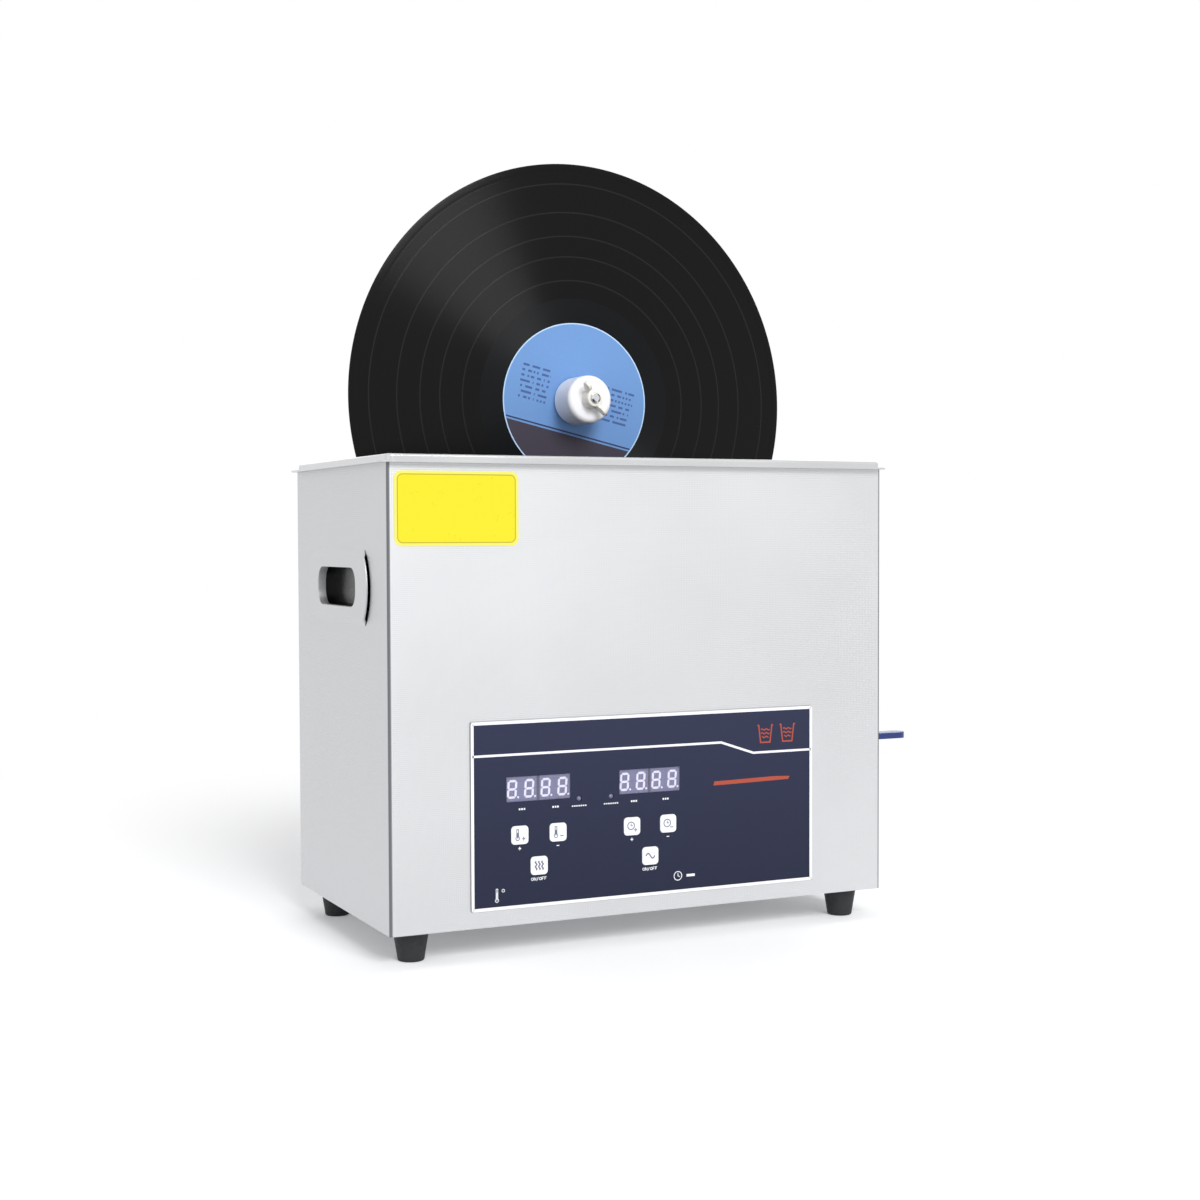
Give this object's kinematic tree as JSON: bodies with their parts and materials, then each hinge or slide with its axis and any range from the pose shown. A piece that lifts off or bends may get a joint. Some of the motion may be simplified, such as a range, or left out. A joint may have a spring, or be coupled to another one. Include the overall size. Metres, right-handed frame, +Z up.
{
  "type": "record cleaning machine",
  "caption": "Ultrasonic record cleaning machine: steel tank in a sheet-metal casing with keypad, drain valve and a lifting motor drive that turns a record in the bath.",
  "frame": {"origin": "centre of the casing's plan, on the surface that the feet stand on", "axes": "+X to the right across the front, +Y from the front to the back, +Z up"},
  "size_m": [0.439, 0.2344, 0.4777],
  "materials": {
    "casing_steel": "fine linen-embossed sheet, satin",
    "rim_steel": "bright pressed sheet",
    "plate_steel": "plain zinc-plated sheet",
    "bracket_steel": "bent and satin ground",
    "cup_plastic": "moulded, glossy black",
    "overlay_foil": "printed polyester, satin",
    "window_foil": "clear lavender-grey",
    "display_resin": "cast resin face",
    "lamp_resin": "clear cast resin",
    "key_plastic": "moulded, white",
    "circuit_board": "green solder mask",
    "aluminium": "machined",
    "piezo_ceramic": "fired, silvered faces",
    "turned_steel": "turned",
    "heater_silicone": "moulded silicone",
    "foot_rubber": "moulded, matt black",
    "hose_rubber": "extruded, matt black",
    "screw_steel": "zinc plated",
    "polished_steel": "ground and polished",
    "nickel_brass": "nickel-plated brass",
    "seat_plastic": "turned, white",
    "lever_steel": "stamped, zinc plated",
    "sleeve_vinyl": "dipped vinyl, dark blue",
    "black_plastic": "moulded, fine texture",
    "rocker_plastic": "moulded, glossy black",
    "blade_brass": "tinned",
    "housing_plastic": "moulded, fine texture",
    "bush_bronze": "sintered bronze",
    "motor_steel": "plated",
    "hub_plastic": "turned, white",
    "record_vinyl": "pressed, glossy black",
    "label_paper": "pressed label paper, light blue"
  },
  "bodies": {
    "cabinet": {"outer_shell": "casing_steel", "back_panel": "casing_steel", "top_rim": "rim_steel", "tank": "rim_steel", "bottom_plate": "plate_steel", "fan_guard": "plate_steel", "hook_bracket": "bracket_steel", "handle_cups": "cup_plastic", "panel_overlay": "overlay_foil", "display_windows": "window_foil", "digit_modules": "display_resin", "indicator_lamps": "lamp_resin", "control_board": "circuit_board", "generator_board": "circuit_board", "heat_sink": "aluminium", "transducer_horns": "aluminium", "rod_base": "aluminium", "piezo_rings": "piezo_ceramic", "transducer_backs": "turned_steel", "heater_pads": "heater_silicone", "feet": "foot_rubber", "drain_hose": "hose_rubber", "case_screws": "screw_steel", "drain_fitting": "polished_steel", "guide_rods": "polished_steel", "valve_body": "nickel_brass", "valve_outlet": "nickel_brass", "valve_seats": "seat_plastic", "power_inlet": "black_plastic", "fan_frame": "black_plastic", "rod_caps": "black_plastic", "inlet_blades": "blade_brass"},
    "carriage": {"carriage_housing": "housing_plastic", "housing_cover": "housing_plastic", "carriage_bushes": "bush_bronze", "gear_motor": "motor_steel"},
    "spindle_set": {"shaft_coupling": "aluminium", "spindle": "polished_steel", "rear_hub": "hub_plastic", "record": "record_vinyl", "record_labels": "label_paper"},
    "clamp_hub": {"front_gasket": "hose_rubber", "front_hub": "hub_plastic"},
    "wing_nut": {"wing_nut": "hub_plastic"},
    "lock_knob": {"lock_knob": "black_plastic"},
    "clamp_left": {"clamp_screw_left": "black_plastic"},
    "clamp_right": {"clamp_screw_right": "black_plastic"},
    "valve": {"valve_ball": "polished_steel", "valve_stem": "polished_steel", "drain_lever": "lever_steel", "lever_sleeve": "sleeve_vinyl"},
    "rocker": {"power_rocker": "rocker_plastic"},
    "fuse_drawer": {"fuse_drawer": "black_plastic"},
    "fan_rotor": {"fan_rotor": "black_plastic"},
    "key_temp_up": {"key_temp_up": "key_plastic"},
    "key_temp_down": {"key_temp_down": "key_plastic"},
    "key_heater": {"key_heater": "key_plastic"},
    "key_time_up": {"key_time_up": "key_plastic"},
    "key_time_down": {"key_time_down": "key_plastic"},
    "key_sonic": {"key_sonic": "key_plastic"}
  },
  "joints": [
    {"name": "carriage_lift", "type": "slide", "parent": "cabinet", "child": "carriage", "axis": [0, 0, 1], "range_m": [0, 0.115]},
    {"name": "record_spin", "type": "hinge", "parent": "carriage", "child": "spindle_set", "pos_m": [0, 0.1084, 0.327], "axis": [0, -1, 0], "continuous": true},
    {"name": "hub_slide", "type": "slide", "parent": "spindle_set", "child": "clamp_hub", "axis": [0, -1, 0], "range_m": [0, 0.03]},
    {"name": "wing_nut_turn", "type": "hinge", "parent": "clamp_hub", "child": "wing_nut", "pos_m": [0, -0.01, 0.327], "axis": [0, -1, 0], "range_deg": [0, 450]},
    {"name": "lock_knob_turn", "type": "hinge", "parent": "carriage", "child": "lock_knob", "pos_m": [0.0496, 0.1084, 0.3105], "axis": [1, 0, 0], "range_deg": [0, 270]},
    {"name": "clamp_left_turn", "type": "hinge", "parent": "cabinet", "child": "clamp_left", "pos_m": [-0.034, 0.1, 0.225], "axis": [0, 1, 0], "range_deg": [0, 270]},
    {"name": "clamp_right_turn", "type": "hinge", "parent": "cabinet", "child": "clamp_right", "pos_m": [0.034, 0.1, 0.225], "axis": [0, 1, 0], "range_deg": [0, 270]},
    {"name": "drain_lever_turn", "type": "hinge", "parent": "cabinet", "child": "valve", "pos_m": [0.1935, 0.045, 0.069], "axis": [0, 0, 1], "range_deg": [-90, 0]},
    {"name": "press_temp_up", "type": "slide", "parent": "cabinet", "child": "key_temp_up", "axis": [0, 1, 0], "range_m": [0, 0.0005], "stiffness_N_per_m": 400},
    {"name": "press_temp_down", "type": "slide", "parent": "cabinet", "child": "key_temp_down", "axis": [0, 1, 0], "range_m": [0, 0.0005], "stiffness_N_per_m": 400},
    {"name": "press_heater", "type": "slide", "parent": "cabinet", "child": "key_heater", "axis": [0, 1, 0], "range_m": [0, 0.0005], "stiffness_N_per_m": 400},
    {"name": "press_time_up", "type": "slide", "parent": "cabinet", "child": "key_time_up", "axis": [0, 1, 0], "range_m": [0, 0.0005], "stiffness_N_per_m": 400},
    {"name": "press_time_down", "type": "slide", "parent": "cabinet", "child": "key_time_down", "axis": [0, 1, 0], "range_m": [0, 0.0005], "stiffness_N_per_m": 400},
    {"name": "press_sonic", "type": "slide", "parent": "cabinet", "child": "key_sonic", "axis": [0, 1, 0], "range_m": [0, 0.0005], "stiffness_N_per_m": 400},
    {"name": "rocker_tilt", "type": "hinge", "parent": "cabinet", "child": "rocker", "pos_m": [0.056, 0.0895, 0.0875], "axis": [1, 0, 0], "range_deg": [0, 18]},
    {"name": "fuse_drawer_slide", "type": "slide", "parent": "cabinet", "child": "fuse_drawer", "axis": [0, 1, 0], "range_m": [0, 0.013]},
    {"name": "fan_spin", "type": "hinge", "parent": "cabinet", "child": "fan_rotor", "pos_m": [-0.078, 0.08, 0.066], "axis": [0, 1, 0], "continuous": true}
  ]
}
